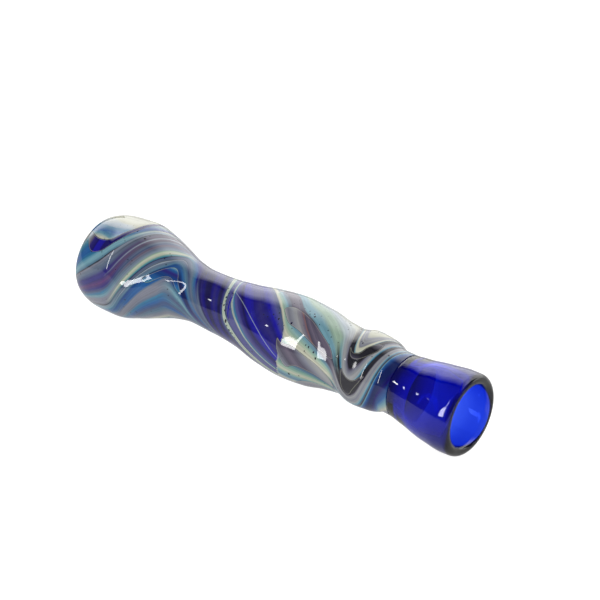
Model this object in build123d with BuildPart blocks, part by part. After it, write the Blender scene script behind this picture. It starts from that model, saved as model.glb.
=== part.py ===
from build123d import *

import os
from math import cos, pi

# A straight glass hand pipe: a blown cobalt tube with coloured canes wound over it, a flared
# mouthpiece at one end and a bowl pushed into the bulb at the other.
#
# Millimetres. +X runs along the pipe towards the mouthpiece, +Z is up, and the pipe lies on z = 0
# with the origin under the middle of its length.

# Driving sizes of the mouthpiece
MOUTH_END_X = 61.4
MOUTH_AXIS_Z = 10.4
MOUTH_RADIUS = 10.4
MOUTH_BORE_RADIUS = 7.5
MOUTH_BORE_START_X = 49.0
RIM_RADIUS = 10.0
RIM_FILLET = 1.0

# Driving sizes of the bowl in the bulb's end
BOWL_END_X = -61.4
BOWL_AXIS_Z = 12.2
BOWL_OUTER_RADIUS = 5.9
BOWL_MOUTH_RADIUS = 4.9
BOWL_FLOOR_RADIUS = 3.2
BOWL_DEPTH = 8.5
BOWL_FLOOR_THICKNESS = 2.0
BOWL_TAPER_DEGREES = 4.0
DRAUGHT_HOLE_RADIUS = 1.5
DRAUGHT_HOLE_LENGTH = 17.0

# Glass thickness
CANE_THICKNESS = 0.7
TUBE_WALL = 1.9
SEAT_GAP = 0.2

# Stations along the blown body: x, half width across (Y), half height (Z), height of the centre.
# The bulb is a little wider than tall and dips just under z = 0, where it is cut off flat, so the
# pipe lies still and doesn't roll.
BODY_STATIONS = [
    (-60.6, 7.2, 7.1, 12.2),
    (-59.6, 9.2, 8.9, 12.4),
    (-57.6, 12.3, 11.9, 12.8),
    (-52.6, 13.7, 13.0, 12.95),
    (-46.6, 14.0, 13.2, 13.05),
    (-40.6, 12.5, 11.9, 13.3),
    (-34.6, 10.4, 10.0, 13.4),
    (-28.6, 8.3, 8.2, 13.3),
    (-22.6, 7.4, 7.4, 13.2),
    (-15.6, 7.6, 7.6, 12.9),
    (-7.6, 8.4, 8.4, 12.8),
    (0.4, 9.9, 9.9, 12.5),
    (8.4, 10.7, 10.7, 12.3),
    (15.4, 10.2, 10.2, 12.1),
    (21.4, 9.0, 9.0, 12.1),
    (25.9, 8.6, 8.6, 12.1),
    (30.4, 9.4, 9.4, 11.9),
    (34.9, 9.2, 9.2, 11.6),
    (39.4, 7.9, 7.9, 11.5),
    (41.6, 7.9, 7.9, 11.3),
]

CHAMBER_FIRST_STATION = 2

# Outside of the mouthpiece: x, radius, height of the centre
CUP_STATIONS = [
    (41.6, 7.9, 11.3),
    (45.4, 8.5, 11.0),
    (49.0, 9.2, 10.7),
    (53.4, 9.95, 10.5),
    (57.6, MOUTH_RADIUS, MOUTH_AXIS_Z),
    (MOUTH_END_X, RIM_RADIUS, MOUTH_AXIS_Z),
]

# How far the molten canes were twisted at points along the pipe: x, degrees
TWIST_KEYS = [(-60.6, 0.0), (-28.6, 62.0), (31.6, -58.0), (41.6, -12.0)]

# The canes in order round the pipe, with the share of the round that each one covers
CANES = [
    ("pearl_cane", 4.5),
    ("cobalt_cane_1", 1.2),
    ("silver_cane_1", 1.2),
    ("smoke_cane_1", 1.5),
    ("cobalt_cane_2", 1.6),
    ("silver_cane_2", 1.3),
    ("smoke_cane_2", 1.6),
    ("silver_cane_3", 1.6),
    ("smoke_cane_3", 2.2),
    ("cobalt_cane_3", 3.5),
    ("silver_cane_4", 2.3),
    ("charcoal_cane", 1.5),
    ("smoke_cane_4", 3.0),
]
FIRST_CANE_ANGLE = 86.0
CANE_GAP_DEGREES = 0.4


def twist_at(x):
    """Twist in degrees at x, easing from each key to the next."""
    for (start_x, start_twist), (end_x, end_twist) in zip(TWIST_KEYS, TWIST_KEYS[1:]):
        if x <= end_x:
            share = (x - start_x) / (end_x - start_x)
            return start_twist + (end_twist - start_twist) * (1 - cos(pi * share)) / 2
    return TWIST_KEYS[-1][1]


def cross_plane(x, centre_z):
    """A plane square to the pipe at x, whose own X is the pipe's Y and own Y is up."""
    return Plane(origin=(x, 0, centre_z), x_dir=(0, 1, 0), z_dir=(1, 0, 0))


def body_rings(inset):
    """The body's stations, drawn in by inset all round."""
    return [(x, wide - inset, tall - inset, z) for x, wide, tall, z in BODY_STATIONS]


os.makedirs("parts", exist_ok=True)

# The blown tube that everything else is laid on
with BuildPart() as core_tube:
    for x, wide, tall, centre_z in body_rings(CANE_THICKNESS + SEAT_GAP):
        with BuildSketch(cross_plane(x, centre_z)):
            Ellipse(wide, tall)
    loft()
    chamber_rings = body_rings(CANE_THICKNESS + TUBE_WALL)
    for x, wide, tall, centre_z in chamber_rings[CHAMBER_FIRST_STATION:]:
        with BuildSketch(cross_plane(x, centre_z)):
            Ellipse(wide, tall)
    loft(mode=Mode.SUBTRACT)
    with BuildSketch(cross_plane(BOWL_END_X, BOWL_AXIS_Z)):
        Circle(BOWL_OUTER_RADIUS + SEAT_GAP)
    extrude(amount=BOWL_DEPTH, mode=Mode.SUBTRACT)
core_tube.part.label = "core_tube"
export_step(core_tube.part, "parts/core_tube.step")

# The canes, each a strip of the outer layer that follows the twist
total_share = sum(share for name, share in CANES)
angle = FIRST_CANE_ANGLE
for name, share in CANES:
    sweep_degrees = 360 * share / total_share
    span = sweep_degrees - CANE_GAP_DEGREES
    with BuildPart() as cane:
        for x, wide, tall, centre_z in BODY_STATIONS:
            low = angle - twist_at(x)
            inner_wide = wide - CANE_THICKNESS
            inner_tall = tall - CANE_THICKNESS
            with BuildSketch(cross_plane(x, centre_z)):
                with BuildLine():
                    outside = EllipticalCenterArc((0, 0), wide, tall, low, arc_size=span)
                    inside = EllipticalCenterArc((0, 0), inner_wide, inner_tall, low, arc_size=span)
                    Line(outside @ 0, inside @ 0)
                    Line(outside @ 1, inside @ 1)
                make_face()
        loft()
        split(bisect_by=Plane.XY, keep=Keep.TOP)
    cane.part.label = name
    export_step(cane.part, f"parts/{name}.step")
    angle += sweep_degrees

# The bowl pushed into the bulb's end, with its draught hole
with BuildPart() as push_bowl:
    with BuildSketch(cross_plane(BOWL_END_X, BOWL_AXIS_Z)):
        Circle(BOWL_OUTER_RADIUS)
    extrude(amount=BOWL_DEPTH + BOWL_FLOOR_THICKNESS, taper=BOWL_TAPER_DEGREES)
    with BuildSketch(cross_plane(BOWL_END_X, BOWL_AXIS_Z)):
        Circle(BOWL_MOUTH_RADIUS)
    with BuildSketch(cross_plane(BOWL_END_X + BOWL_DEPTH, BOWL_AXIS_Z)):
        Circle(BOWL_FLOOR_RADIUS)
    loft(mode=Mode.SUBTRACT)
    with BuildSketch(cross_plane(BOWL_END_X, BOWL_AXIS_Z)):
        Circle(DRAUGHT_HOLE_RADIUS)
    extrude(amount=DRAUGHT_HOLE_LENGTH, mode=Mode.SUBTRACT)
push_bowl.part.label = "push_bowl"
export_step(push_bowl.part, "parts/push_bowl.step")

# The flared mouthpiece, with a straight bore behind its rounded rim
with BuildPart() as mouthpiece:
    for x, radius, centre_z in CUP_STATIONS:
        with BuildSketch(cross_plane(x, centre_z)):
            Circle(radius)
    loft()
    throat_x, throat_outside, throat_z = CUP_STATIONS[0]
    with BuildSketch(cross_plane(throat_x, throat_z)):
        Circle(throat_outside - CANE_THICKNESS - TUBE_WALL)
    with BuildSketch(cross_plane(MOUTH_BORE_START_X, MOUTH_AXIS_Z)):
        Circle(MOUTH_BORE_RADIUS)
    loft(mode=Mode.SUBTRACT)
    with BuildSketch(cross_plane(MOUTH_BORE_START_X, MOUTH_AXIS_Z)):
        Circle(MOUTH_BORE_RADIUS)
    extrude(amount=MOUTH_END_X - MOUTH_BORE_START_X, mode=Mode.SUBTRACT)
    rim_edges = mouthpiece.faces().sort_by(Axis.X)[-1].edges()
    fillet(rim_edges, RIM_FILLET)
mouthpiece.part.label = "flared_mouthpiece"
export_step(mouthpiece.part, "parts/flared_mouthpiece.step")
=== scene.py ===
import math

import bmesh
import bpy
import numpy as np
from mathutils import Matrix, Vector


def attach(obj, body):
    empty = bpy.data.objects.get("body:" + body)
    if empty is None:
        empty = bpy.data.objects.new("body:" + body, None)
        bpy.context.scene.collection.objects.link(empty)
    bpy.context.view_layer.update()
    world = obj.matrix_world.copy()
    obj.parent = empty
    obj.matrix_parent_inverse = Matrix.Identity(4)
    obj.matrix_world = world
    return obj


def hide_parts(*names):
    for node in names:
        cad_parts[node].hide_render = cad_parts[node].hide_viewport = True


# A hand-blown straight glass pipe. A striped, twisted skin of fused glass canes lies over a cobalt
# tube, with a clear cobalt cup for a mouth and a bowl pushed into the bulb's end.
#
# Lengths in the tables are millimetres in the CAD frame, with x along the pipe towards the mouth.
# Turns round the pipe are degrees from the top, counted towards the front (-Y).

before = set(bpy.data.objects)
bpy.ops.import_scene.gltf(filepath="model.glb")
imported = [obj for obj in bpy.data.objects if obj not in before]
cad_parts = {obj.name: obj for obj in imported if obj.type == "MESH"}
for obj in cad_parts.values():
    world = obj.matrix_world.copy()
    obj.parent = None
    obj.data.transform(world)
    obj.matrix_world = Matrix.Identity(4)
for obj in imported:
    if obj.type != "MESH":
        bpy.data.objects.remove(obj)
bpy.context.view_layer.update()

MM = 0.001
ROUND = 360.0

# ------------------------------------------------------------------ the shape of the blown body
# x, half width across, half height, height of the centre
BODY_STATIONS = [
    (-61.35, 6.0, 6.0, 12.2), (-60.6, 7.25, 7.1, 12.3), (-59.6, 9.2, 8.9, 12.4),
    (-57.6, 12.3, 11.9, 12.8), (-52.6, 13.7, 13.0, 13.0), (-46.6, 14.0, 13.2, 13.1),
    (-40.6, 12.5, 11.9, 13.3), (-34.6, 10.4, 10.0, 13.4), (-28.6, 8.3, 8.2, 13.3),
    (-22.6, 7.4, 7.4, 13.2), (-15.6, 7.6, 7.6, 12.9), (-7.6, 8.4, 8.4, 12.8), (0.4, 9.9, 9.9, 12.5),
    (8.4, 10.7, 10.7, 12.3), (15.4, 10.2, 10.2, 12.1), (21.4, 9.0, 9.0, 12.1), (25.9, 8.6, 8.6, 12.1),
    (30.4, 9.4, 9.4, 11.9), (34.9, 9.2, 9.2, 11.6), (39.4, 7.9, 7.9, 11.5), (42.0, 7.95, 7.95, 11.3),
    (45.4, 8.5, 8.5, 11.0), (49.0, 9.2, 9.2, 10.7), (53.4, 9.95, 9.95, 10.5), (57.6, 10.4, 10.4, 10.4),
    (59.6, 10.35, 10.35, 10.4), (61.4, 9.9, 9.9, 10.4),
]
SKIN_START_X = -61.3
SKIN_END_X = 42.2
GRID_STEP = 0.3
GRID_TURNS = 300
SEAM_TURN = -125.0
SKIN = 0.55

# How far the molten canes were twisted at points along the pipe: x, degrees
TWIST = [
    (-64.6, -5), (-62.6, 0), (-56.6, 30), (-50.6, 43), (-44.6, 55), (-40.6, 75), (-35.6, 98),
    (-31.6, 111), (-29.1, 118), (-24.6, 108), (-20.6, 87), (-16.6, 64), (-12.6, 37), (-8.6, 5),
    (-2.6, -14), (2.4, -26), (7.4, -35), (12.4, -45), (17.4, -50), (22.4, -58), (25.4, -65),
    (28.4, -80), (30.4, -94), (31.4, -98), (33.4, -91), (35.4, -75), (37.4, -50), (39.4, -15),
    (42.4, 10),
]
# Strands lean more on the front than on top: by how many degrees, and from which turn
TWIST_SWAY = 35.5
TWIST_SWAY_AT = 205.0

# Ripples that twisting left: x of the middle, reach, height in mm, how many round, phase in radians
RIPPLES = [(31.0, 5.5, 0.20, 4, 0.6), (12.0, 8.0, 0.12, 3, -1.2), (-20.0, 9.0, 0.08, 2, 0.0)]
# The ridge over the bulb's front shoulder runs through a point at a slope in degrees per mm
RIDGE_THROUGH_X, RIDGE_THROUGH_TURN, RIDGE_SLOPE = -36.6, 79.0, 3.06
RIDGE_X, RIDGE_REACH, RIDGE_TURN_REACH, RIDGE_HEIGHT = -35.5, 12.0, 14.0, 0.72
# The knob on the bulb
KNOB_X, KNOB_REACH, KNOB_TURN, KNOB_TURN_REACH, KNOB_HEIGHT = -45.6, 3.0, 40.0, 27.0, 0.85
# Where the waves have died out: x, and over what length
WAVES_FADE_IN = 4.0
WAVES_END_X, WAVES_FADE_OUT = 56.0, 6.0
FLOOR_GAP = 0.02


def curve_through(keys, x):
    """A smooth curve through (x, value) keys, with no overshoot between them."""
    keys = np.asarray(keys, float)
    kx, ky = keys[:, 0], keys[:, 1]
    step = np.diff(kx)
    slope = np.diff(ky) / step
    tangent = np.empty(len(kx))
    tangent[0], tangent[-1] = slope[0], slope[-1]
    left, right = 2 * step[1:] + step[:-1], step[1:] + 2 * step[:-1]
    turning = slope[:-1] * slope[1:] <= 0
    safe = np.where(turning, 1.0, slope[:-1]), np.where(turning, 1.0, slope[1:])
    tangent[1:-1] = np.where(turning, 0.0, (left + right) / (left / safe[0] + right / safe[1]))
    i = np.clip(np.searchsorted(kx, x) - 1, 0, len(step) - 1)
    t = np.clip((x - kx[i]) / step[i], 0, 1)
    ease = t * t * (3 - 2 * t)
    return (
        ky[i] * (1 - ease) + ky[i + 1] * ease
        + step[i] * t * (1 - t) * (tangent[i] * (1 - t) - tangent[i + 1] * t)
    )


def ring_at(x):
    """Half width, half height and centre height of the body at x."""
    stations = np.asarray(BODY_STATIONS)
    return [curve_through(stations[:, [0, k]], x) for k in (1, 2, 3)]


def flow_at(x, turn):
    """Which glass lies at a place: this stays the same all along a cane, and one round is 360."""
    sway = TWIST_SWAY * np.sin(np.radians(turn - TWIST_SWAY_AT))
    return turn + curve_through(TWIST, x) + sway


def wrapped(turn):
    """A turn brought within half a round of zero."""
    return (turn + ROUND / 2) % ROUND - ROUND / 2


def hump(value, centre, spread):
    return np.exp(-(((value - centre) / spread) ** 2))


def swell(x, turn):
    """The low waves on the round body, in mm."""
    flow = np.radians(flow_at(x, turn))
    ripples = sum(
        hump(x, middle, reach) * height * np.cos(count * flow + phase)
        for middle, reach, height, count, phase in RIPPLES
    )
    ridge_turn = RIDGE_THROUGH_TURN - RIDGE_SLOPE * (x - RIDGE_THROUGH_X)
    ridge = RIDGE_HEIGHT * hump(wrapped(turn - ridge_turn), 0.0, RIDGE_TURN_REACH)
    ridge *= hump(x, RIDGE_X, RIDGE_REACH)
    knob = KNOB_HEIGHT * hump(wrapped(turn - KNOB_TURN), 0.0, KNOB_TURN_REACH)
    knob *= hump(x, KNOB_X, KNOB_REACH)
    fade_in = np.clip((x - SKIN_START_X) / WAVES_FADE_IN, 0, 1)
    fade_out = np.clip((WAVES_END_X - x) / WAVES_FADE_OUT, 0, 1)
    return fade_in * fade_out * (ripples + ridge + knob)


def body_point(x, turn, inset=0.0):
    """Points on the body's outside, in metres, drawn in by inset and kept off the floor."""
    wide, tall, centre = ring_at(x)
    out = swell(x, turn) - inset
    angle = np.radians(turn)
    place = [x + 0 * turn, -(wide + out) * np.sin(angle), centre + (tall + out) * np.cos(angle)]
    place[2] = np.maximum(place[2], FLOOR_GAP + inset)
    return np.stack(place, -1) * MM


# ------------------------------------------------------------------ colours of the glass, 0 to 255
CREAM = (204, 206, 184)
GREENISH = (158, 186, 164)
SEAFOAM = (110, 156, 146)
PALE = (176, 190, 200)
MIST = (134, 152, 166)
ASH = (160, 163, 164)
GREY = (130, 134, 148)
STEEL = (106, 122, 142)
SEA = (86, 124, 148)
SLATE = (78, 92, 126)
SILVER = (118, 164, 178)
TEAL = (54, 124, 158)
AZURE = (40, 98, 160)
DEEP_TEAL = (24, 66, 130)
NAVY = (14, 32, 92)
MAUVE = (112, 104, 122)
DUSK = (86, 82, 100)
CHARCOAL = (38, 38, 46)
MAROON = (92, 50, 112)
INDIGO = (46, 40, 120)
PERIWINKLE = (84, 86, 146)
INK = (24, 20, 80)
ROYAL = (28, 22, 126)
COBALT = (20, 12, 104)
# COBALT_LIT is painted light: the bright blue of light shining through cobalt glass, used in the windows,
# the waist's layers, the tube and the throat's lining.
COBALT_LIT = (28, 22, 160)
AMBER = (140, 104, 104)
# The share of each colour, as seen, that the glass itself gives; the studio adds the rest
BODY_SHARE = np.array([0.66, 0.65, 0.66])


def linear(colour):
    """A colour from 0 to 255 as linear light, less what the bright studio adds to it."""
    seen = np.asarray(colour, float) / 255
    light = np.where(seen <= 0.04045, seen / 12.92, ((seen + 0.055) / 1.055) ** 2.4)
    return (*(light * BODY_SHARE), 1.0)


# The layers of glass in order of flow, in each part of the pipe: flow in degrees, colour
BULB_LAYERS = [
    (0, ASH), (12, CREAM), (24, GREENISH), (30, CREAM), (48, CREAM), (58, ASH), (63, SILVER),
    (67, TEAL), (71, AZURE), (75, AZURE), (77.5, TEAL), (80, SILVER), (82.5, SILVER), (84.6, SEA),
    (85.4, CHARCOAL), (86.4, GREY), (90, STEEL), (92.5, SLATE), (95, INDIGO), (99, INDIGO),
    (103, MAROON), (106, INDIGO), (109.5, SLATE), (112.5, TEAL), (115, SILVER), (118, GREY),
    (126, GREY), (127.6, CHARCOAL), (128.5, MIST), (133, SILVER), (136, TEAL), (141, AZURE), (146, SEA),
    (149, GREY), (160, GREY), (165, SILVER), (168, TEAL), (176, AZURE), (184, TEAL), (188, GREY),
    (196, ASH), (204, CREAM), (212, GREY), (216, MAUVE), (224, TEAL), (232, AZURE), (240, SILVER),
    (247, CREAM), (256, ASH), (264, DUSK), (270, CHARCOAL), (272, MAUVE), (282, DUSK), (290, INDIGO),
    (297, COBALT), (304, AZURE), (310, SILVER), (318, CREAM), (328, GREENISH), (336, TEAL), (344, GREY),
    (352, MAUVE), (360, ASH),
]
SHOULDER_LAYERS = [
    (0, ASH), (14, CREAM), (28, GREENISH), (44, CREAM), (56, GREY), (62, CREAM), (70, MIST),
    (76, ROYAL), (80, INK), (81, CREAM), (84, MIST), (88, MIST), (89, CHARCOAL), (90.5, DUSK),
    (94, MAUVE), (97.6, DUSK), (98.8, PALE), (99.8, MAUVE), (104, DUSK), (106, STEEL), (109.5, SLATE),
    (112.5, MAUVE), (116, STEEL), (119, MIST), (121, GREENISH), (124, CREAM), (126, SEAFOAM),
    (127.8, TEAL), (128.4, CHARCOAL), (129.4, SLATE), (132.4, STEEL), (133, CHARCOAL), (133.7, PALE),
    (134.6, STEEL), (138, SEA), (140.4, DEEP_TEAL), (145, AZURE), (150, AZURE), (151.4, STEEL),
    (153, GREY), (161, GREY), (164, STEEL), (166.5, TEAL), (174, AZURE), (182, SLATE), (190, SEA),
    (197, STEEL), (206, GREY), (214, CREAM), (222, SEAFOAM), (230, AZURE), (238, SLATE), (246, GREY),
    (256, CREAM), (262, CHARCOAL), (266, DUSK), (280, MAUVE), (290, ROYAL), (300, INK), (306, AZURE),
    (314, SILVER), (324, CREAM), (334, SEAFOAM), (344, GREY), (352, DUSK), (360, ASH),
]
SADDLE_LAYERS = [
    (0, STEEL), (20, SLATE), (40, GREY), (60, PALE), (80, PERIWINKLE), (92, ROYAL), (104, INK),
    (113, INK), (120, ROYAL), (124, AZURE), (128, SEA), (130.5, STEEL), (134, SLATE), (138, SEA),
    (141, AZURE), (144, NAVY), (150, NAVY), (153, DEEP_TEAL), (155, SEA), (158.5, SILVER), (162, SEA),
    (166, SLATE), (172, SEA), (178, SLATE), (186, AZURE), (191, STEEL), (200, GREY), (212, ASH),
    (222, SEA), (232, SLATE), (244, ROYAL), (252, INK), (260, SLATE), (270, MIST), (282, CREAM),
    (296, GREY), (306, DUSK), (316, AZURE), (328, SEA), (344, GREY), (360, STEEL),
]
WAIST_LAYERS = [
    (-60, CREAM), (-52, PALE), (-44, GREY), (-38, CREAM), (-34, SILVER), (-30, SILVER), (-27, CREAM),
    (-24, GREENISH), (-20, SILVER), (-16, ASH), (-14, SEA), (-11.5, CREAM), (-9.5, CREAM),
    (-8.6, SLATE), (-6, PERIWINKLE), (-2.5, COBALT_LIT), (1, ROYAL), (5, INDIGO), (10, ROYAL),
    (13.5, COBALT_LIT), (17.5, COBALT_LIT), (21, INK), (25, INDIGO), (30, PERIWINKLE), (33, TEAL),
    (34.6, CREAM), (35.6, SEA), (37, PERIWINKLE), (46, PERIWINKLE), (47.2, CHARCOAL), (48.0, SILVER),
    (50, CREAM), (52.5, GREENISH), (55.5, CREAM), (56.6, SEA), (58, SLATE), (62, INDIGO), (66, INK),
    (70, INK), (77, ROYAL), (83, INDIGO), (88, ROYAL), (93, INK), (101, INK), (106, ROYAL),
    (111, INDIGO), (114, INK), (116.4, SLATE), (118, STEEL), (127, SLATE), (133, STEEL), (137, AZURE),
    (142, SLATE), (146, INDIGO), (155, SLATE), (162, SEA), (172, STEEL), (182, PERIWINKLE), (192, GREY),
    (200, ASH), (210, SILVER), (222, AZURE), (232, DUSK), (244, INDIGO), (254, COBALT), (264, AZURE),
    (272, SILVER), (280, GREENISH), (290, CREAM), (300, CREAM),
]
BELLY_LAYERS = [
    (-60, CREAM), (-46, PALE), (-40, GREENISH), (-35, GREENISH), (-31, SILVER), (-27, SILVER),
    (-25.4, DUSK), (-21, MAUVE), (-18, DUSK), (-16.4, STEEL), (-14.5, SILVER), (-11.5, GREENISH),
    (-8.5, CREAM), (-5.5, CREAM), (-3, SEAFOAM), (-0.6, CHARCOAL), (0.6, SLATE), (5, DUSK),
    (8.5, SLATE), (12, SEA), (15, SEAFOAM), (19, GREENISH), (23, CREAM), (26.5, GREENISH), (30, SILVER),
    (36, SEA), (39, SILVER), (44, CREAM), (52, ASH), (60, GREY), (70, ASH), (84, CREAM), (96, SEAFOAM),
    (110, TEAL), (122, SLATE), (134, DUSK), (146, GREY), (158, CREAM), (172, SILVER), (186, GREY),
    (198, DUSK), (210, INDIGO), (222, AZURE), (234, SEAFOAM), (248, CREAM), (262, GREY), (276, MAUVE),
    (290, ASH), (300, CREAM),
]
CUFF_LAYERS = [
    (-100, PALE), (-92, CREAM), (-83, CREAM), (-80, GREY), (-76, ASH), (-73, GREY), (-71, CREAM),
    (-68.5, CREAM), (-67, SILVER), (-65.5, CHARCOAL), (-58, CHARCOAL), (-56, DUSK), (-54, GREY),
    (-48, ASH), (-45, ASH), (-42, SILVER), (-39, TEAL), (-37, CHARCOAL), (-27, CHARCOAL), (-25, DUSK),
    (-22, ASH), (-15, GREY), (-8, ASH), (-4, SILVER), (-1, TEAL), (2, DUSK), (5, CHARCOAL), (7, SILVER),
    (10, AZURE), (16, DEEP_TEAL), (22, NAVY), (34, NAVY), (44, COBALT), (60, AZURE), (70, SILVER),
    (82, CREAM), (92, GREY), (100, CHARCOAL), (106, DUSK), (116, TEAL), (126, CREAM), (140, ASH),
    (150, CHARCOAL), (158, MAUVE), (170, SILVER), (182, CREAM), (196, AZURE), (206, INDIGO),
    (214, SILVER), (226, CREAM), (240, GREY), (250, CHARCOAL), (260, PALE),
]
# Where each part gives way to the next along the pipe, and over what length
SHOULDER_X = -42.5, 3.0
SADDLE_X = -29.0, 2.4
WAIST_X = -20.5, 2.0
CUFF_X = 26.6, 1.6
# The blue leaf on the belly ends along a bow: x and turn of its tip, and how fast it bends back
LEAF_TIP_X, LEAF_TIP_TURN = 11.4, 66.0
LEAF_BEND_ABOVE, LEAF_BEND_BELOW = 0.0022, 0.0005
LEAF_RAGGED = 3.0
# The thread across the leaf: its turn at x = 0, and how far it turns per mm
THREAD_TURN, THREAD_SLOPE = 52.5, 3.4

# How fine a cane's streaks are across and along it, and how far they move the layers, in degrees
LONG_STREAKS, LONG_WANDER = (0.16, 0.05), 5.0
FINE_STREAKS, FINE_WANDER = (0.5, 0.07), 1.6
# How far, in mm, streaks move the places where one part gives way to the next
PART_WANDER = 6.0

# The canes: name, material slot, and the flow where each starts
CANES = [
    ("pearl_cane", "pearl_glass", 38.0), ("cobalt_cane_1", "cobalt_glass", 76.0),
    ("silver_cane_1", "silver_glass", 81.0), ("smoke_cane_1", "smoke_glass", 88.3),
    ("cobalt_cane_2", "cobalt_glass", 104.0), ("silver_cane_2", "silver_glass", 116.0),
    ("smoke_cane_2", "smoke_glass", 127.8), ("silver_cane_3", "silver_glass", 139.0),
    ("smoke_cane_3", "smoke_glass", 154.5), ("cobalt_cane_3", "cobalt_glass", 168.0),
    ("silver_cane_4", "silver_glass", 214.0), ("charcoal_cane", "charcoal_glass", 286.0),
    ("smoke_cane_4", "smoke_glass", 334.0),
]

# Patches laid over the canes: outline as (x, turn), the layers across each, and which way they run
PATCHES = {
    "bulb_window": dict(
        slot="cobalt_glass",
        outline=[
            (-57.1, 25), (-56.3, 38), (-53.2, 52), (-50.1, 50), (-47.6, 41.5), (-45.6, 30), (-44.4, 13),
            (-43.8, -5), (-43.6, -34), (-46, -36), (-48.6, 0), (-52.6, 20),
        ],
        across=(1.0, 0.02),
        layers=[
            (-57, AZURE), (-55.6, PALE), (-54.2, MAUVE), (-53, INDIGO), (-51.6, COBALT),
            (-51.0, COBALT_LIT), (-49.6, COBALT_LIT), (-49.0, COBALT), (-44.5, COBALT),
        ],
    ),
    "pearl_cap": dict(
        slot="pearl_glass",
        outline=[
            (-59.8, 20), (-56.6, 29), (-52.6, 35), (-48.6, 32), (-46.6, 22), (-45.1, 5), (-44.6, -25),
            (-44.9, -50), (-47.6, -75), (-52.6, -88), (-57.6, -70), (-60.2, -30),
        ],
        across=(0.0, 1.0),
        layers=[
            (-80, CREAM), (-30, CREAM), (0, CREAM), (8, PALE), (14, TEAL), (24, AZURE), (30, SILVER),
            (34, CREAM),
        ],
    ),
    "blue_crescent": dict(
        slot="cobalt_glass",
        outline=[
            (-9.7, 23), (-9.0, 30), (-8.3, 45), (-7.5, 62), (-6.6, 76), (-7.3, 76), (-8.3, 66),
            (-9.1, 50), (-9.6, 35),
        ],
        across=(0.0, 1.0),
        layers=[
            (20, NAVY), (34, COBALT_LIT), (60, COBALT_LIT), (78, INDIGO),
        ],
    ),
    "shoulder_wedge": dict(
        slot="cobalt_glass",
        outline=[
            (-35.4, 64), (-33, 46), (-30.8, 31), (-29.1, 25), (-27.6, 31), (-26.1, 47), (-24.6, 66),
            (-26.1, 63), (-27.6, 51), (-29.1, 47), (-30.6, 51), (-33.4, 66),
        ],
        across=(0.0, 1.0),
        layers=[
            (26, SILVER), (31, AZURE), (38, INDIGO), (46, DEEP_TEAL), (56, AZURE), (64, TEAL),
        ],
    ),
    "mauve_lens": dict(
        slot="smoke_glass",
        outline=[
            (7.9, 22), (9.4, 31), (11.4, 39), (14.4, 42), (17.4, 48), (21.4, 57), (24.4, 62),
            (25.7, 62), (24.9, 52), (23.4, 43), (20.4, 32), (16.4, 20), (12.4, 14), (9.4, 14),
        ],
        across=(-1.0, 0.19),
        layers=[
            (-13.6, MAUVE), (-12.2, DUSK), (-11.2, MAUVE), (-10.2, DUSK), (-9.8, AMBER), (-9.2, MAUVE),
            (-7, ASH), (-5, GREY), (-3, ASH),
        ],
    ),
    "smoke_lens": dict(
        slot="smoke_glass",
        outline=[
            (9.9, 62), (11.4, 66), (14.4, 65), (17.4, 70), (22.4, 82), (25.4, 95), (26.4, 108),
            (25.9, 114), (23.4, 106), (21.4, 100), (17.4, 93), (15.4, 93), (13.4, 98), (11.9, 90),
            (10.4, 76),
        ],
        across=(-1.0, 0.19),
        layers=[
            (-5, ASH), (-3.4, GREY), (-1.4, DUSK), (0.6, MAUVE), (2.4, DUSK), (4.6, GREY), (6.4, ASH),
        ],
    ),
    "belly_lens": dict(
        slot="smoke_glass",
        outline=[
            (13, 146), (14.6, 128), (17.4, 119), (21.4, 120), (24.2, 130), (26, 146), (23, 158),
            (17, 160),
        ],
        across=(0.0, 1.0),
        layers=[
            (120, ASH), (128, GREY), (140, DUSK), (156, MAUVE),
        ],
    ),
    "hook_upper": dict(
        slot="charcoal_glass",
        outline=[
            (36.0, 5), (35.9, 20), (34.8, 32), (33.4, 42), (32.2, 47), (31, 48), (30.2, 45), (29.6, 40),
            (29, 33), (29.6, 33), (30.4, 38), (31.4, 38), (32.3, 34), (32.9, 24), (33.8, 14), (34.8, 6),
        ],
        across=(0.0, 1.0),
        layers=[
            (5, DUSK), (20, CHARCOAL), (40, CHARCOAL), (47, DUSK),
        ],
    ),
    "hook_lower": dict(
        slot="charcoal_glass",
        outline=[
            (29.0, 68), (29.5, 90), (30.4, 102), (31.4, 107), (32.4, 103), (33.4, 92), (34.6, 80),
            (35.9, 65), (34.8, 67), (33.6, 75), (32.4, 79), (31.2, 78), (30, 73),
        ],
        across=(0.0, 1.0),
        layers=[
            (66, DUSK), (78, CHARCOAL), (100, CHARCOAL), (106, DUSK),
        ],
    ),
    "back_window": dict(
        slot="cobalt_glass",
        outline=[
            (-57, 196), (-53, 222), (-48, 240), (-43, 238), (-41.5, 226), (-45, 214), (-50, 196),
            (-54, 184),
        ],
        across=(1.0, 0.02),
        layers=[
            (-53, AZURE), (-50, COBALT), (-47, COBALT_LIT), (-44, COBALT_LIT), (-40, COBALT),
        ],
    ),
    "back_lens": dict(
        slot="smoke_glass",
        outline=[
            (2, 196), (8, 206), (14, 222), (20, 240), (23, 240), (22, 224), (17, 204), (10, 190),
            (4, 186),
        ],
        across=(-1.0, 0.19),
        layers=[
            (18, ASH), (22, GREY), (26, DUSK), (30, MAUVE), (34, ASH),
        ],
    ),
}

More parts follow.
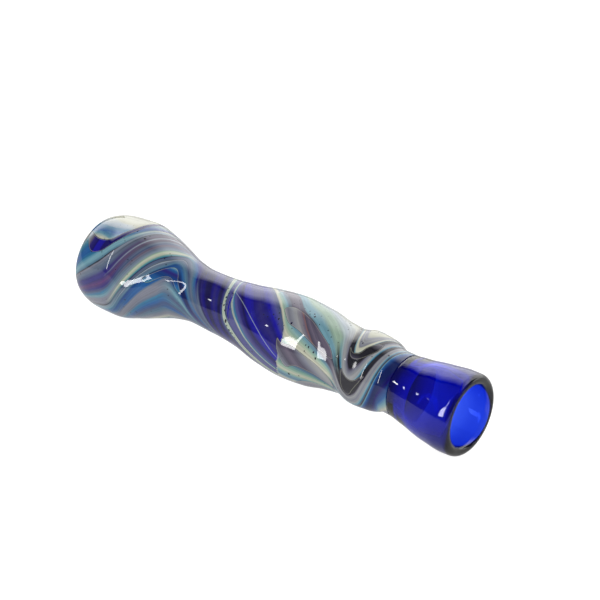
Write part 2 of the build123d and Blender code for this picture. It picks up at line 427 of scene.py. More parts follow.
# Small bubbles and specks under the skin: x, turn, radius
SPECKS = [
    (-41.0, 11, 0.34), (-50.6, 34, 0.12), (-44.2, 28, 0.12), (-42.9, 62, 0.10), (-37.6, 60, 0.12),
    (-10.7, 28, 0.22), (-10.7, 37, 0.26), (-10.3, 44, 0.16), (-10.2, 52, 0.24), (-9.3, 60, 0.26),
    (-8.2, 77, 0.42), (-7.6, 84, 0.20), (-6.7, 90, 0.30), (-5.9, 93, 0.26), (-5.3, 92, 0.16),
    (-4.6, 98, 0.14), (7.4, 31, 0.20), (8.2, 39, 0.24), (8.8, 46, 0.14), (6.7, 24, 0.14),
    (11.9, 37, 0.30), (10.4, 44, 0.12), (13.6, 7, 0.16), (15.2, 8, 0.22), (15.8, 12, 0.26),
    (14.3, 12, 0.14), (16.9, 5, 0.12), (18.2, 20, 0.16), (8.8, 8, 0.12), (12.0, 7, 0.12),
    (10.1, 3, 0.10), (17.9, 57, 0.16), (18.7, 58, 0.20), (20.3, 63, 0.24), (21.2, 71, 0.26),
    (18.0, 66, 0.16), (26.6, 56, 0.20), (13.9, 110, 0.34), (10.0, 110, 0.12), (31.4, 19, 0.20),
    (30.9, 17, 0.14), (-0.5, 48, 0.12), (4.2, 62, 0.12), (-33.6, 118, 0.14), (-30.2, 138, 0.18),
    (-12, 205, 0.25), (-9, 214, 0.2), (4, 176, 0.25), (14, 250, 0.3), (-40, 215, 0.25), (-30, 250, 0.2),
]


# ------------------------------------------------------------------ cutting the skin into its pieces
def smooth_outline(points, parts=8):
    """A closed outline with its corners rounded, as Catmull-Rom curves through the points."""
    p = np.asarray(points, float)
    before, after, next_after = np.roll(p, 1, 0), np.roll(p, -1, 0), np.roll(p, -2, 0)
    rows = []
    for t in np.arange(parts) / parts:
        rows.append(0.5 * (
            2 * p + (after - before) * t + (2 * before - 5 * p + 4 * after - next_after) * t ** 2
            + (3 * p - before - 3 * after + next_after) * t ** 3
        ))
    return np.stack(rows, 1).reshape(-1, 2)


FAR_OUTSIDE = -9.0
NEAR_MARGIN = 3.0


def patch_depth(outline, x, turn):
    """How far inside an outline each place is, in mm, and negative outside."""
    edge = smooth_outline(outline)
    middle = edge.mean(0)
    wide, tall, _ = ring_at(np.array([middle[0]]))
    mm_per_degree = math.radians(float(wide[0] + tall[0]) / 2)
    edge = np.stack([edge[:, 0], (edge[:, 1] - middle[1]) * mm_per_degree], -1)
    place = np.stack([x, wrapped(turn - middle[1]) * mm_per_degree], -1)
    depth = np.full(len(x), FAR_OUTSIDE)
    near = np.all((place > edge.min(0) - NEAR_MARGIN) & (place < edge.max(0) + NEAR_MARGIN), -1)
    p = place[near][:, None, :]
    a, b = edge[None], np.roll(edge, -1, 0)[None]
    along = np.clip(((p - a) * (b - a)).sum(-1) / ((b - a) ** 2).sum(-1), 0, 1)
    gap = np.linalg.norm(p - a - along[..., None] * (b - a), axis=-1).min(1)
    crosses = (a[..., 1] > p[..., 1]) != (b[..., 1] > p[..., 1])
    rise = np.where(b[..., 1] == a[..., 1], 1.0, b[..., 1] - a[..., 1])
    hit = p[..., 0] < a[..., 0] + (b[..., 0] - a[..., 0]) * (p[..., 1] - a[..., 1]) / rise
    inside = (crosses & hit).sum(1) % 2 == 1
    depth[near] = np.where(inside, gap, -gap)
    return depth


grid_x = np.arange(SKIN_START_X, SKIN_END_X + GRID_STEP / 2, GRID_STEP)
grid_turn = SEAM_TURN + np.arange(GRID_TURNS) * ROUND / GRID_TURNS
NODE_X, NODE_TURN = [a.ravel() for a in np.meshgrid(grid_x, grid_turn, indexing="ij")]
NODE_FLOW = flow_at(NODE_X, NODE_TURN)
row, col = [
    a.ravel() for a in np.meshgrid(np.arange(len(grid_x) - 1), np.arange(GRID_TURNS), indexing="ij")
]
beside = (col + 1) % GRID_TURNS
CELLS = np.stack([
    row * GRID_TURNS + col, (row + 1) * GRID_TURNS + col,
    (row + 1) * GRID_TURNS + beside, row * GRID_TURNS + beside,
], -1)


def cut_region(depth):
    """The part of the grid where depth is positive: faces of places, and each place's x, turn and depth."""
    inside = depth >= 0
    hits = inside[CELLS].sum(1)
    whole = CELLS[hits == 4]
    part = CELLS[(hits > 0) & (hits < 4)]
    triangles = np.concatenate([part[:, [0, 1, 2]], part[:, [0, 2, 3]]])
    count = inside[triangles].sum(1)
    faces = [whole, triangles[count == 3]]
    cuts = []
    for wanted, odd_is_inside in ((1, True), (2, False)):
        chosen = triangles[count == wanted]
        odd = np.argmax(inside[chosen] == odd_is_inside, 1)
        order = (odd[:, None] + np.arange(3)) % 3
        chosen = np.take_along_axis(chosen, order, 1)
        cuts.append(chosen)
    total = len(depth)
    keys = np.concatenate([
        np.stack([np.minimum(c[:, 0], c[:, k]), np.maximum(c[:, 0], c[:, k])], -1)
        for c in cuts for k in (1, 2)
    ])
    code = keys[:, 0].astype(np.int64) * total + keys[:, 1]
    unique, index = np.unique(code, return_inverse=True)
    low, high = unique // total, unique % total
    share = depth[low] / (depth[low] - depth[high])
    cut_x = NODE_X[low] + share * (NODE_X[high] - NODE_X[low])
    cut_turn = NODE_TURN[low] + share * wrapped(NODE_TURN[high] - NODE_TURN[low])
    n_one, n_two = len(cuts[0]), len(cuts[1])
    spots = total + index
    faces.append(np.stack([cuts[0][:, 0], spots[:n_one], spots[n_one:2 * n_one]], -1))
    rest = spots[2 * n_one:]
    faces.append(np.stack([rest[:n_two], cuts[1][:, 1], cuts[1][:, 2], rest[n_two:]], -1))
    all_x = np.concatenate([NODE_X, cut_x])
    all_turn = np.concatenate([NODE_TURN, cut_turn])
    all_depth = np.concatenate([depth, np.zeros(len(unique))])
    used = np.unique(np.concatenate([f.ravel() for f in faces]))
    number = np.full(len(all_x), -1)
    number[used] = np.arange(len(used))
    return [number[f] for f in faces], all_x[used], all_turn[used], all_depth[used]


def rim_edges(faces):
    """The directed edges that only one face has."""
    pairs = np.concatenate([
        np.stack([f[:, k], f[:, (k + 1) % f.shape[1]]], -1) for f in faces for k in range(f.shape[1])
    ])
    size = pairs.max() + 1
    forward, backward = pairs[:, 0] * size + pairs[:, 1], pairs[:, 1] * size + pairs[:, 0]
    return pairs[~np.isin(forward, backward)]


def new_object(name, points, faces, smooth_angle=40.0):
    mesh = bpy.data.meshes.new(name)
    mesh.from_pydata(points.tolist(), [], faces)
    shape = bmesh.new()
    shape.from_mesh(mesh)
    if shape.calc_volume(signed=True) < 0:
        bmesh.ops.reverse_faces(shape, faces=shape.faces)
    shape.to_mesh(mesh)
    shape.free()
    mesh.shade_smooth()
    mesh.set_sharp_from_angle(angle=math.radians(smooth_angle))
    piece = bpy.data.objects.new(name, mesh)
    bpy.context.scene.collection.objects.link(piece)
    return piece


# The shallow dip where two glasses meet: its depth and half width in mm
SEAM_DIP, SEAM_REACH = 0.003, 0.16


def skin_piece(name, depth, middle_flow):
    """A closed sliver of the skin where depth is positive, with the fields its material reads."""
    faces, x, turn, inner_depth = cut_region(depth)
    seam_dip = SEAM_DIP * hump(inner_depth, 0.0, SEAM_REACH)
    outside = body_point(x, turn, seam_dip)
    inside = body_point(x, turn, SKIN)
    count = len(x)
    rim = rim_edges(faces)
    walls = np.stack([rim[:, 1], rim[:, 0], rim[:, 0] + count, rim[:, 1] + count], -1)
    back = [f[:, ::-1] + count for f in faces]
    groups = faces + back + [walls]
    faces = [face for group in groups for face in group.tolist()]
    piece = new_object(name, np.concatenate([outside, inside]), faces)
    flow = wrapped(flow_at(x, turn) - middle_flow)
    fields = {"flow": flow, "along": x, "turn": turn, "rim": inner_depth}
    for field, values in fields.items():
        spread = piece.data.attributes.new(field, "FLOAT", "POINT")
        spread.data.foreach_set("value", np.concatenate([values, values]).astype(np.float32))
    return piece


# ------------------------------------------------------------------ materials
class Nodes:
    """A short way to write a material's nodes."""

    def __init__(self, name):
        self.material = bpy.data.materials.new(name)
        self.material.use_nodes = True
        self.tree = self.material.node_tree
        self.tree.nodes.clear()
        self.output = self.add("ShaderNodeOutputMaterial")

    def add(self, kind, inputs=(), **settings):
        node = self.tree.nodes.new(kind)
        for key, value in settings.items():
            setattr(node, key, value)
        for key, value in dict(inputs).items():
            self.put(node.inputs[key], value)
        return node

    def put(self, socket, value):
        if isinstance(value, bpy.types.NodeSocket):
            self.tree.links.new(value, socket)
        elif value is not None:
            socket.default_value = value

    def math(self, operation, a, b=None, c=None):
        node = self.add("ShaderNodeMath", operation=operation)
        for socket, value in zip(node.inputs, (a, b, c)):
            self.put(socket, value)
        return node.outputs[0]

    def field(self, name):
        return self.add("ShaderNodeAttribute", attribute_name=name).outputs["Fac"]

    def vector(self, x, y, z=0.0):
        return self.add("ShaderNodeCombineXYZ", {"X": x, "Y": y, "Z": z}).outputs[0]

    def place(self):
        return self.add("ShaderNodeTexCoord").outputs["Object"]

    def noise(self, vector, scale=1.0, detail=3.0, roughness=0.5):
        node = self.add("ShaderNodeTexNoise", {
            "Vector": vector, "Scale": scale, "Detail": detail, "Roughness": roughness,
        })
        return node.outputs["Fac"]

    def streaks(self, across, along, fineness, roughness=0.6, apart=0.0):
        """Noise drawn out along the glass; fineness is its scale across and along."""
        across, along = self.math("MULTIPLY", across, fineness[0]), self.math("MULTIPLY", along, fineness[1])
        return self.noise(self.vector(across, along, apart), 1.0, 4.0, roughness)

    def moved(self, value, noise, size):
        """A value moved by a noise, by up to half of size either way."""
        return self.math("ADD", value, self.math("MULTIPLY", self.math("SUBTRACT", noise, 0.5), size))

    def spread(self, value, low, high, to_low=0.0, to_high=1.0):
        node = self.add("ShaderNodeMapRange", {
            "Value": value, "From Min": low, "From Max": high, "To Min": to_low, "To Max": to_high,
        })
        return node.outputs[0]

    def layers(self, value, stops):
        """Colours along a value, from (value, colour) stops."""
        low, high = stops[0][0], stops[-1][0]
        place = self.spread(value, low, high)
        ramp = self.add("ShaderNodeValToRGB", {"Fac": place})
        elements = ramp.color_ramp.elements
        while len(elements) < len(stops):
            elements.new(0.5)
        for element, (at, colour) in zip(elements, stops):
            element.position = (at - low) / (high - low)
            element.color = linear(colour)
        return ramp.outputs["Color"]

    def mix(self, share, a, b, blend="MIX"):
        node = self.add("ShaderNodeMix", data_type="RGBA", blend_type=blend, clamp_result=True)
        self.put(node.inputs[0], share)
        self.put(node.inputs[6], a)
        self.put(node.inputs[7], b)
        return node.outputs[2]

    def shaded(self, colour, grain, darkest, lightest):
        """A colour made darker and lighter by a grain."""
        shade = self.spread(grain, 0.25, 0.75, darkest, lightest)
        return self.mix(1.0, colour, self.vector(shade, shade, shade), "MULTIPLY")


def layers_between(layers, low, high, middle):
    """The stops of a full round of layers that a cane shows, counted from the cane's middle."""
    start = layers[0][0]
    values = np.array([s for s, _ in layers])
    colours = np.array([c for _, c in layers], float)

    def colour_at(flow):
        flow = (flow - start) % ROUND + start
        return tuple(np.interp(flow, values, colours[:, k]) for k in range(3))

    stops = [(low - middle, colour_at(low))]
    for turn in (-ROUND, 0.0, ROUND):
        stops += [(s + turn - middle, c) for s, c in layers if low + 0.05 < s + turn < high - 0.05]
    stops = sorted(stops, key=lambda stop: stop[0])
    return stops + [(high - middle, colour_at(high))]


def glassy(n, colour, streaks, bump_from, roughness=0.035, painted_glow=None, painted_glow_strength=0.0):
    """Clear-surfaced glass over a coloured body: a hard gloss that ripples slightly, with a painted glow
    where one is given.
    """
    bump = n.add("ShaderNodeBump", {"Height": bump_from, "Strength": 0.02, "Distance": 0.00012})
    shader = n.add("ShaderNodeBsdfPrincipled", {
        "Base Color": colour, "Roughness": n.spread(streaks, 0.3, 0.7, roughness * 0.7, roughness * 1.6),
        "IOR": 1.5, "Normal": bump.outputs[0],
        "Emission Color": painted_glow, "Emission Strength": painted_glow_strength,
    })
    n.tree.links.new(shader.outputs[0], n.output.inputs["Surface"])
    return n.material


def outlined(n, colour, dark):
    """The thin dark line and the pale line inside it, where one glass meets the next."""
    unevenness = n.noise(n.vector(n.field("along"), n.field("turn")), 0.6)
    rim = n.math("ADD", n.field("rim"), n.spread(unevenness, 0, 1, -0.05, 0.05))
    pale = n.math("MULTIPLY", n.spread(rim, 0.08, 0.14), n.spread(rim, 0.30, 0.16))
    colour = n.mix(n.math("MULTIPLY", pale, 0.35), colour, linear(CREAM))
    line = n.spread(rim, 0.13, 0.03, 0.0, dark)
    return n.mix(line, colour, linear(CHARCOAL))


def specked(n, colour, scale, amount):
    """Fine dark specks, thick in some places and thin in others."""
    where = n.place()
    cells = n.add("ShaderNodeTexVoronoi", {"Vector": where, "Scale": scale, "Randomness": 1.0})
    dots = n.spread(cells.outputs["Distance"], 0.20, 0.10)
    crowd = n.spread(n.noise(where, 160.0, 2.0), 0.50, 0.60)
    return n.mix(n.math("MULTIPLY", n.math("MULTIPLY", dots, crowd), amount), colour, linear(CHARCOAL))


def leaf_end(n, along, grain):
    """How far past the end of the belly's blue leaf a place is, in mm."""
    turn = n.math("MAXIMUM", n.field("turn"), 0.0)
    below = n.math("SUBTRACT", turn, LEAF_TIP_TURN)
    above = n.math("POWER", n.math("MAXIMUM", n.math("MULTIPLY", below, -1.0), 0.0), 2.0)
    below = n.math("POWER", n.math("MAXIMUM", below, 0.0), 2.0)
    end = n.math("SUBTRACT", LEAF_TIP_X, n.math("MULTIPLY", above, LEAF_BEND_ABOVE))
    end = n.math("SUBTRACT", end, n.math("MULTIPLY", below, LEAF_BEND_BELOW))
    return n.math("SUBTRACT", along, n.moved(end, grain, LEAF_RAGGED))


def thread_over_leaf(n, along):
    """How much of a place is the fine pale thread that crosses the belly's leaf."""
    turn = n.math("ADD", n.math("MULTIPLY", along, THREAD_SLOPE), THREAD_TURN)
    away = n.math("ABSOLUTE", n.math("SUBTRACT", n.field("turn"), turn))
    ends = n.math("MULTIPLY", n.spread(along, -9.5, -8.5), n.spread(along, 11.5, 10.0))
    return n.math("MULTIPLY", n.spread(away, 1.0, 0.4), ends)


def cane_material(name, low, high, middle):
    """The striped glass of one cane, whose layers change from part to part along the pipe."""
    n = Nodes(name)
    flow, along = n.field("flow"), n.field("along")
    where = n.place()
    long_grain = n.streaks(flow, along, LONG_STREAKS)
    fine_grain = n.streaks(flow, along, FINE_STREAKS, 0.65, 3.0)
    flow = n.moved(n.moved(flow, long_grain, LONG_WANDER), fine_grain, FINE_WANDER)
    shifted = n.moved(along, long_grain, PART_WANDER)

    def from_part(middle_x, reach):
        return n.spread(shifted, middle_x - reach, middle_x + reach)

    colour = n.layers(flow, layers_between(BULB_LAYERS, low, high, middle))
    past_leaf = leaf_end(n, along, long_grain)
    later = (
        (SHOULDER_LAYERS, from_part(*SHOULDER_X)),
        (SADDLE_LAYERS, from_part(*SADDLE_X)),
        (WAIST_LAYERS, from_part(*WAIST_X)),
        (BELLY_LAYERS, n.spread(past_leaf, -0.25, 0.25)),
        (CUFF_LAYERS, from_part(*CUFF_X)),
    )
    for layers, share in later:
        colour = n.mix(share, colour, n.layers(flow, layers_between(layers, low, high, middle)))
    edge = n.math("MULTIPLY", n.spread(past_leaf, -0.28, -0.05), n.spread(past_leaf, 0.3, 0.05))
    colour = n.mix(n.math("MULTIPLY", edge, 0.55), colour, linear(CREAM))
    colour = n.mix(n.math("MULTIPLY", thread_over_leaf(n, along), 0.6), colour, linear(PALE))
    colour = n.shaded(colour, fine_grain, 0.74, 1.28)
    cloud = n.noise(where, 230.0, 3.0)
    colour = n.mix(n.spread(cloud, 0.45, 0.75, 0.0, 0.04), colour, linear(PALE))
    colour = specked(n, colour, 700.0, 0.85)
    return glassy(n, colour, fine_grain, n.noise(where, 320.0, 2.0))


def patch_material(name, layers, across):
    """A window or lens of glass: layers across it, streaks along it, and a dark and a pale edge."""
    n = Nodes(name)
    along, turn = n.field("along"), n.field("turn")
    where = n.place()
    value = n.math("ADD", n.math("MULTIPLY", along, across[0]), n.math("MULTIPLY", turn, across[1]))
    span = layers[-1][0] - layers[0][0]
    grain = n.streaks(value, along, (6.0 / span, 0.06))
    colour = n.layers(n.moved(value, grain, span * 0.22), layers)
    colour = n.shaded(colour, grain, 0.78, 1.2)
    colour = specked(n, colour, 900.0, 0.4)
    colour = outlined(n, colour, 0.8)
    return glassy(n, colour, grain, n.noise(where, 320.0, 2.0))


def cobalt_glass():
    """Clear cobalt glass, which deepens with its thickness."""
    n = Nodes("clear_cobalt")
    where = n.place()
    ripple = n.noise(where, 90.0, 2.0, 0.4)
    bump = n.add("ShaderNodeBump", {"Height": ripple, "Strength": 0.25, "Distance": 0.0003})
    shader = n.add("ShaderNodeBsdfPrincipled", {
        "Base Color": (0.93, 0.94, 1.0, 1.0), "Roughness": n.spread(ripple, 0.3, 0.7, 0.0, 0.02),
        "IOR": 1.48, "Transmission Weight": 1.0, "Normal": bump.outputs[0],
    })
    n.tree.links.new(shader.outputs[0], n.output.inputs["Surface"])
    body = n.add("ShaderNodeVolumeAbsorption", {"Color": (0.02, 0.2625, 0.804, 1.0), "Density": 1600.0})
    n.tree.links.new(body.outputs[0], n.output.inputs["Volume"])
    return n.material


def deep_cobalt(name, light, dark, scale, painted_glow):
    """Cobalt glass with something dark behind it, streaked round the pipe, with a painted glow that stands
    in for light coming through the glass.
    """
    n = Nodes(name)
    where = n.place()
    stretched = n.add("ShaderNodeMapping", {"Vector": where, "Scale": (3.0, 1.0, 1.0)})
    streaks = n.noise(stretched.outputs[0], scale, 4.0, 0.6)
    colour = n.mix(n.spread(streaks, 0.35, 0.65), linear(dark), linear(light))
    return glassy(n, colour, streaks, n.noise(where, 300.0, 2.0), 0.06, (0.03, 0.02, 0.75, 1.0), painted_glow)


def throat_cobalt():
    """The lining of the throat: painted light, its colour and its glow running from nearly black deep inside
    to bright blue towards the mouth, for the light that comes in through the cup.
    """
    n = Nodes("throat_cobalt")
    where = n.place()
    along = n.math("DIVIDE", n.add("ShaderNodeSeparateXYZ", {0: where}).outputs["X"], MM)
    wash = n.noise(where, 140.0, 3.0)
    along = n.moved(along, wash, 1.5)
    colour = n.layers(along, [(40.4, NAVY), (42.5, INK), (45.0, COBALT), (48.2, COBALT_LIT)])
    painted_glow = [(40.4, (20, 20, 90)), (42.5, (30, 20, 140)), (45.0, (40, 16, 205)), (48.2, (44, 24, 245))]
    return glassy(n, colour, wash, wash, 0.06, n.layers(along, painted_glow), 1.0)


def speck_material():
    """Small gas bubbles and burnt specks: near black, with a blue heart."""
    n = Nodes("bubble_specks")
    where = n.place()
    mottle = n.noise(where, 2600.0, 2.0)
    colour = n.mix(n.spread(mottle, 0.4, 0.7), linear((6, 6, 10)), linear((30, 28, 80)))
    return glassy(n, colour, mottle, mottle, 0.08)


# ------------------------------------------------------------------ the skin's pieces
def ridden(piece, slot_name, *nodes):
    """Sets a piece on the pipe's body and hides the CAD nodes that it stands for; slot_name is not used."""
    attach(piece, "root")
    if nodes:
        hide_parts(*nodes)


patch_depths = {
    name: patch_depth(patch["outline"], NODE_X, NODE_TURN) for name, patch in PATCHES.items()
}
taken = np.full(len(NODE_X), FAR_OUTSIDE)
for name, patch in reversed(list(PATCHES.items())):
    own = np.minimum(patch_depths[name], -taken)
    middle = float(np.mean([t for _, t in patch["outline"]]))
    piece = skin_piece(name, own, 0.0)
    turns = piece.data.attributes["turn"]
    values = np.zeros(len(turns.data), np.float32)
    turns.data.foreach_get("value", values)
    turns.data.foreach_set("value", (middle + wrapped(values - middle)).astype(np.float32))
    piece.data.materials.append(patch_material(name + "_glass", patch["layers"], patch["across"]))
    ridden(piece, patch["slot"])
    taken = np.maximum(taken, patch_depths[name])

MM_PER_FLOW_DEGREE = 0.17
starts = [start for _, _, start in CANES] + [CANES[0][2] + ROUND]
for (node, slot_name, low), high in zip(CANES, starts[1:]):
    middle, half = (low + high) / 2, (high - low) / 2
    depth = (half - np.abs(wrapped(NODE_FLOW - middle))) * MM_PER_FLOW_DEGREE
    piece = skin_piece(node + "_glass", np.minimum(depth, -taken), middle)
    piece.data.materials.append(cane_material(node + "_layers", low, high, middle))
    ridden(piece, slot_name, node)


# ------------------------------------------------------------------ round pieces: tube, bowl and mouth
def turned(name, profile, around=144, axis_height=None):
    """A closed ring of a piece from a closed profile of (x, radius), round the body's axis."""
    profile = np.asarray(profile, float)
    angles = np.arange(around) * 2 * math.pi / around
    heights = ring_at(profile[:, 0])[2] if axis_height is None else np.full(len(profile), axis_height)
    points = np.stack([
        np.repeat(profile[:, :1], around, 1),
        -profile[:, 1:] * np.sin(angles)[None],
        heights[:, None] + profile[:, 1:] * np.cos(angles)[None],
    ], -1).reshape(-1, 3) * MM
    i, j = [a.ravel() for a in np.meshgrid(np.arange(len(profile)), np.arange(around), indexing="ij")]
    after, beside = (i + 1) % len(profile), (j + 1) % around
    faces = np.stack([
        i * around + j, i * around + beside, after * around + beside, after * around + j,
    ], -1)
    return new_object(name, points, faces.tolist(), 50.0)


def rounded(centre, radii, start, end, steps=10):
    """Points on an arc of a profile: centre (x, radius), radii, and angles in degrees."""
    angles = np.radians(np.linspace(start, end, steps))
    return [(centre[0] + radii[0] * math.cos(a), centre[1] + radii[1] * math.sin(a)) for a in angles]


# The mouth cup: outside, rounded rim, straight bore and throat
MOUTH_BORE = 7.5
LIP_X, LIP_END_X = 59.7, 61.35
LIP_CENTRE = 8.85
CUP_FOOT = [(40.4, 6.9), (41.2, 7.2), (41.9, 7.45), (42.3, 7.8)]
THROAT = [(49.6, 7.4), (48.2, 7.15), (46.6, 6.75), (45.0, 6.3), (43.4, 5.9), (42.0, 5.6), (40.4, 5.4)]
outer_x = np.arange(42.6, LIP_X + 0.01, 0.45)
outer_waves = 0.04 * np.sin(outer_x * 0.9) * np.clip((WAVES_END_X - outer_x) / WAVES_FADE_OUT, 0, 1)
outer_radius = ring_at(outer_x)[0] + outer_waves
lip_reach = LIP_END_X - LIP_X
cup_profile = CUP_FOOT + list(zip(outer_x, outer_radius))
cup_profile += rounded((LIP_X, LIP_CENTRE), (lip_reach, outer_radius[-1] - LIP_CENTRE), 84, 0, 12)
cup_profile += rounded((LIP_X, LIP_CENTRE), (lip_reach, LIP_CENTRE - MOUTH_BORE), -8, -90, 10)
cup_profile += [(x, MOUTH_BORE) for x in np.arange(59.0, 51.0, -0.8)]
cup_profile += THROAT
mouth = turned("mouth_cup_glass", cup_profile, 192)
mouth.data.materials.append(cobalt_glass())
ridden(mouth, "mouthpiece_glass", "flared_mouthpiece")

# The lining of the throat, where the blown tube runs on inside the cup
LINER_START_X, LINER_END_X = 40.7, 48.0
LINER_GAP = 0.03
liner_x = np.arange(LINER_START_X, LINER_END_X, 0.4)
liner_outside = np.interp(liner_x, *zip(*THROAT[::-1])) - LINER_GAP
liner_inside = liner_outside - np.interp(liner_x, [LINER_START_X, 46.0, LINER_END_X], [0.5, 0.4, 0.06])
liner_profile = list(zip(liner_x, liner_outside)) + list(zip(liner_x[::-1], liner_inside[::-1]))
liner = turned("throat_liner_glass", liner_profile)
# The lining glows: painted light, dim deep in the throat and bright towards the mouth.
liner.data.materials.append(throat_cobalt())
ridden(liner, "mouthpiece_glass")

# The tube under the canes
tube_x = np.concatenate([[-60.9, -60.2, -59.4, -58.4], np.arange(-57, 40.3, 1.2)])
tube_wide = ring_at(tube_x)[1]
TUBE_GAP, TUBE_INSIDE, AIRWAY_RADIUS, CHAMBER_START_X = 0.55, 2.2, 2.6, -56.5
tube_profile = list(zip(tube_x, tube_wide - SKIN - TUBE_GAP))
tube_profile += [
    (x, max(radius - SKIN - TUBE_INSIDE, AIRWAY_RADIUS))
    for x, radius in zip(tube_x[::-1], tube_wide[::-1]) if x > CHAMBER_START_X
]
tube_profile += [(-57.2, 8.2), (-58.2, 6.4), (-60.9, 6.05)]
tube = turned("inner_tube_glass", tube_profile, 120)
# Its lighter streaks and faint glow are painted light coming through the skin.
tube.data.materials.append(deep_cobalt("tube_cobalt", COBALT_LIT, COBALT, 120.0, 0.2))
ridden(tube, "cobalt_glass", "core_tube")

# The bowl pushed into the bulb's end, with a rolled lip and a draught hole
BOWL_HEIGHT = 12.2
bowl_profile = rounded((-60.7, 5.45), (0.65, 0.55), 90, 270, 14) + [
    (-59.6, 4.72), (-58.0, 4.45), (-56.4, 4.1), (-55.0, 3.75), (-53.8, 3.3), (-53.0, 2.6), (-52.6, 1.9),
    (-52.3, 1.5), (-51.0, 1.5), (-50.7, 1.9), (-51.0, 2.9), (-51.8, 4.1), (-53.4, 4.9), (-55.4, 5.3),
    (-57.6, 5.7), (-59.4, 5.95),
]
bowl = turned("bowl_glass", bowl_profile, 120, BOWL_HEIGHT)
# Its very faint glow is painted light.
bowl.data.materials.append(deep_cobalt("bowl_cobalt", (40, 60, 190), COBALT, 160.0, 0.02))
ridden(bowl, "cobalt_glass", "push_bowl")

# Bubbles, as small lentils set in the skin: mm under the surface, length to width, half thickness
SPECK_INSET, SPECK_STRETCH, SPECK_THICKNESS = 0.05, 1.4, 0.11
around, rings = 10, 6
lentil = [(0.0, 0.0, 1.0)]
for ring in range(1, rings):
    polar = math.pi * ring / rings
    for k in range(around):
        a = 2 * math.pi * k / around
        lentil.append((math.sin(polar) * math.cos(a), math.sin(polar) * math.sin(a), math.cos(polar)))
lentil.append((0.0, 0.0, -1.0))
lentil = np.array(lentil)
lentil_faces = [(0, 1 + k, 1 + (k + 1) % around) for k in range(around)]
for ring in range(rings - 2):
    base = 1 + ring * around
    for k in range(around):
        nxt = (k + 1) % around
        lentil_faces.append((base + k, base + around + k, base + around + nxt, base + nxt))
last = len(lentil) - 1
lentil_faces += [(last, last - around + (k + 1) % around, last - around + k) for k in range(around)]
speck_points, speck_faces = [], []
for x, turn, radius in SPECKS:
    at, ahead, down = body_point(
        np.array([x, x + 0.2, x]), np.array([turn, turn, turn + 1.0]), SPECK_INSET
    )
    ahead, down = ahead - at, down - at
    ahead, down = ahead / np.linalg.norm(ahead), down / np.linalg.norm(down)
    out = np.cross(down, ahead)
    down = np.cross(ahead, out)
    offset = sum(len(p) for p in speck_points)
    shape = lentil * np.array([radius, radius * SPECK_STRETCH, SPECK_THICKNESS]) * MM
    speck_points.append(at + shape @ np.stack([ahead, down, out]))
    speck_faces += [tuple(v + offset for v in f) for f in lentil_faces]
specks = new_object("bubble_specks", np.concatenate(speck_points), speck_faces, 180.0)
specks.data.materials.append(speck_material())
ridden(specks, "charcoal_glass")

# ------------------------------------------------------------------ floor, light and camera
# How bright the white surroundings are through the clear cup, and how dim the room is in reflections
GLASS_SEES = 1.9
ROOM_TONE = 0.13
WHITE = (1.0, 1.0, 1.0, 1.0)
# The floor's own light: on the pipe, and what the camera and the clear cup see beyond that
FLOOR_GLOW, FLOOR_SHOWN, FLOOR_THROUGH = 0.5, 0.45, GLASS_SEES - 0.7
FLOOR_HALF = 3.0
SOFTBOX_HALF = 2.0, 1.2
SOFTBOX_PLACE = (-1.2, 1.26, 0.6)
# Its strength, and where it starts to fade and is dark, from its middle
SOFTBOX_STRENGTH, SOFTBOX_BRIGHT_Y, SOFTBOX_DARK_Y = 2.7, -0.88, -1.16
# Soft lights: name, place, the point it faces, width, height, radiance, whether gloss mirrors it
PANELS = [
    ("panel_back", (0.0, 2.5, 0.3), (0.0, 0.0, 0.3), 5.0, 0.6, 2.0, True),
    ("strip_front", (-0.30, -0.8, 0.5), (0.0, 0.0, 0.05), 0.075, 0.8, 14.0, True),
    ("fill_front", (0.5, -1.2, 0.6), (0.0, 0.0, 0.0), 2.4, 1.4, 2.2, False),
    ("spot_left", (-0.6, -0.53, 0.40), (0.0, 0.0, 0.01), 0.045, 0.045, 20.0, True),
]

n = Nodes("pale_floor")
grain = n.noise(n.place(), 14.0, 3.0)
rays = n.add("ShaderNodeLightPath")
shown = n.math("MULTIPLY_ADD", rays.outputs["Is Camera Ray"], FLOOR_SHOWN, FLOOR_GLOW)
paper = n.add("ShaderNodeBsdfPrincipled", {
    "Base Color": n.mix(grain, (0.22, 0.22, 0.22, 1.0), (0.26, 0.26, 0.26, 1.0)), "Roughness": 0.9,
    "Emission Color": WHITE,
    "Emission Strength": n.math("MULTIPLY_ADD", rays.outputs["Is Transmission Ray"], FLOOR_THROUGH, shown),
})
n.tree.links.new(paper.outputs[0], n.output.inputs["Surface"])
corners = np.array([(-1, -1, 0), (1, -1, 0), (1, 1, 0), (-1, 1, 0)]) * FLOOR_HALF
floor = new_object("floor", corners, [(0, 1, 2, 3)])
floor.data.materials.append(n.material)

# The softbox overhead, which fades out towards its front edge
n = Nodes("softbox_sheet")
depth = n.add("ShaderNodeSeparateXYZ", {0: n.place()}).outputs["Y"]
depth = n.moved(depth, n.noise(n.place(), 6.0, 2.0), 0.06)
strength = n.spread(depth, SOFTBOX_DARK_Y, SOFTBOX_BRIGHT_Y, 0.0, SOFTBOX_STRENGTH)
lamp = n.add("ShaderNodeEmission", {"Color": WHITE, "Strength": strength})
n.tree.links.new(lamp.outputs[0], n.output.inputs["Surface"])
corners = np.array([(-1, -1, 0), (-1, 1, 0), (1, 1, 0), (1, -1, 0)]) * (*SOFTBOX_HALF, 0.0)
softbox = new_object("softbox", corners, [(0, 1, 2, 3)])
softbox.data.materials.append(n.material)
softbox.location = SOFTBOX_PLACE
softbox.visible_camera = False

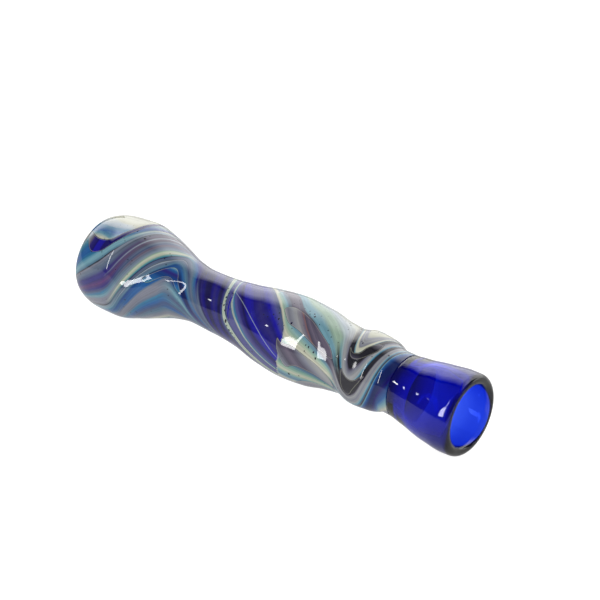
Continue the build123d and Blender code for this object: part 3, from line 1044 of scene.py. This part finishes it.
for name, place, towards, width, height, radiance, mirrored in PANELS:
    data = bpy.data.lights.new(name, "AREA")
    data.shape = "RECTANGLE"
    data.size, data.size_y = width, height
    data.energy = radiance * math.pi * width * height
    light = bpy.data.objects.new(name, data)
    light.location = place
    light.rotation_euler = (Vector(towards) - Vector(place)).to_track_quat("-Z", "Y").to_euler()
    light.visible_camera = False
    light.visible_glossy = mirrored
    bpy.context.scene.collection.objects.link(light)

world = bpy.data.worlds.new("studio")
bpy.context.scene.world = world
world.use_nodes = True
tree = world.node_tree
tree.nodes.clear()
path = tree.nodes.new("ShaderNodeLightPath")
through = tree.nodes.new("ShaderNodeMath")
through.operation = "MULTIPLY_ADD"
tree.links.new(path.outputs["Is Transmission Ray"], through.inputs[0])
through.inputs[1].default_value = GLASS_SEES - ROOM_TONE
through.inputs[2].default_value = ROOM_TONE
tone = tree.nodes.new("ShaderNodeMath")
tone.operation = "MAXIMUM"
tree.links.new(path.outputs["Is Camera Ray"], tone.inputs[0])
tree.links.new(through.outputs[0], tone.inputs[1])
sky = tree.nodes.new("ShaderNodeBackground")
sky.inputs["Color"].default_value = WHITE
tree.links.new(tone.outputs[0], sky.inputs["Strength"])
shown = tree.nodes.new("ShaderNodeOutputWorld")
tree.links.new(sky.outputs[0], shown.inputs["Surface"])

AZIMUTH, ELEVATION = math.radians(39.56), math.radians(28.83)
towards_camera = Vector((
    math.sin(AZIMUTH) * math.cos(ELEVATION), -math.cos(AZIMUTH) * math.cos(ELEVATION), math.sin(ELEVATION),
))
camera_data = bpy.data.cameras.new("camera")
camera_data.lens = 108.36
camera_data.sensor_width = 36.0
camera_data.clip_start = 0.01
camera = bpy.data.objects.new("camera", camera_data)
camera.location = (0.25772, -0.30063, 0.23806)
camera.rotation_euler = (-towards_camera).to_track_quat("-Z", "Y").to_euler()
bpy.context.scene.collection.objects.link(camera)
scene = bpy.context.scene
scene.camera = camera
scene.view_settings.view_transform = "Standard"
scene.cycles.use_denoising = True
scene.cycles.caustics_reflective = False
scene.cycles.caustics_refractive = False
scene.cycles.max_bounces = 16
scene.cycles.transmission_bounces = 16
